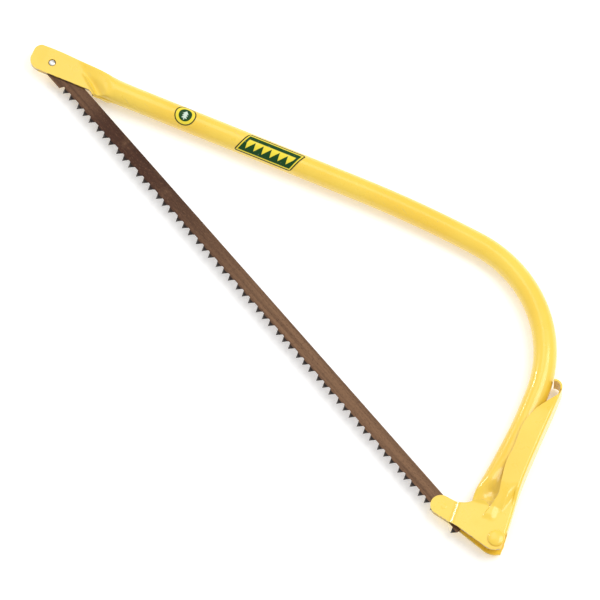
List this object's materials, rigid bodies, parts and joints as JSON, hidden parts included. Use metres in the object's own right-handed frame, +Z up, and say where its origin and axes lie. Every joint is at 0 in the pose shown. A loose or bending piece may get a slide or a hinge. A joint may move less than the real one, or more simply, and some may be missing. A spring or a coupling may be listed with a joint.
{
  "type": "bow saw",
  "caption": "Pointed-nose bow saw: bent yellow steel tube frame, peg-tooth blade pinned in a slotted nose, and a pressed steel tension lever clasping the grip.",
  "frame": {"origin": "middle of the underside of the whole saw as it lies flat", "axes": "+X along the blade from the nose pin towards the grip, +Y from the teeth towards the bow, +Z up out of the lying saw"},
  "size_m": [0.5808, 0.1974, 0.023],
  "materials": {
    "yellow_paint": "glossy yellow paint over steel, worn at the edges",
    "blade_steel": "brown hardened spring steel with dark burnt tooth tips",
    "bare_steel": "bare bright steel pin",
    "badge_film": "dark green printed film with a yellow border"
  },
  "bodies": {
    "frame": {"frame_tube": "yellow_paint", "pivot_rivet": "yellow_paint", "nose_pin": "bare_steel", "round_badge": "badge_film", "name_plate": "badge_film"},
    "lever": {"tension_lever": "yellow_paint", "rear_blade_pin": "yellow_paint"},
    "blade": {"saw_blade": "blade_steel"}
  },
  "joints": [
    {"name": "lever_pivot", "type": "hinge", "parent": "frame", "child": "lever", "pos_m": [0.28101, -0.07123, 0.0115], "axis": [0, 0, -1], "range_deg": [0, 11]},
    {"name": "blade_swing", "type": "hinge", "parent": "frame", "child": "blade", "pos_m": [-0.27099, -0.08483, 0.0115], "axis": [0, 0, 1], "range_deg": [0, 1.11]}
  ],
  "couplings": [
    {"joint": "blade_swing", "follows": "lever_pivot", "ratio": 0.1}
  ]
}
